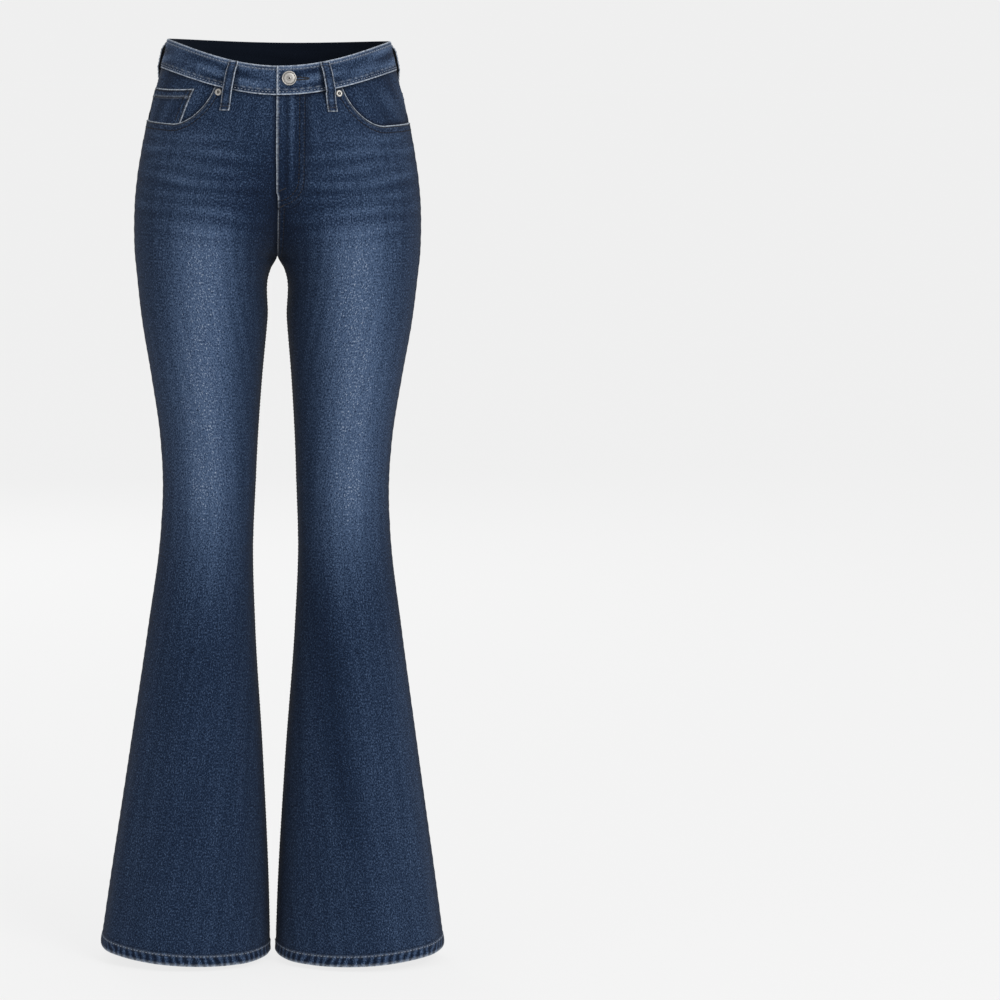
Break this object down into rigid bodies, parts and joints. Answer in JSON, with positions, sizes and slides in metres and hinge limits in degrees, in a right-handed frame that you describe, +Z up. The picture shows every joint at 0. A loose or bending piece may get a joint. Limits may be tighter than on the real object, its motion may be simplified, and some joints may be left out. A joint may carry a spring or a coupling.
{
  "type": "flared jeans",
  "caption": "High-rise flared jeans in faded indigo denim, filled out as if worn but empty, open at the waist and both hems.",
  "frame": {"origin": "middle of the waist opening, level with the waistband's top edge at the side seams", "axes": "+Z up the garment, +X towards the wearer's left, +Y towards the back"},
  "size_m": [0.4198, 0.2317, 1.0932],
  "materials": {
    "indigo_denim": "matt, faded twill",
    "nickel": "worn, satin"
  },
  "bodies": {
    "root": {"front_left": "indigo_denim", "front_right": "indigo_denim", "back_left": "indigo_denim", "back_right": "indigo_denim", "yoke_left": "indigo_denim", "yoke_right": "indigo_denim", "waistband": "indigo_denim", "belt_loop_front_left": "indigo_denim", "belt_loop_front_right": "indigo_denim", "belt_loop_side_left": "indigo_denim", "belt_loop_side_right": "indigo_denim", "belt_loop_back": "indigo_denim", "pocket_facing_left": "indigo_denim", "pocket_facing_right": "indigo_denim", "coin_pocket": "indigo_denim", "back_pocket_left": "indigo_denim", "back_pocket_right": "indigo_denim", "rivet_left": "nickel", "rivet_right": "nickel", "button": "nickel"}
  },
  "joints": []
}
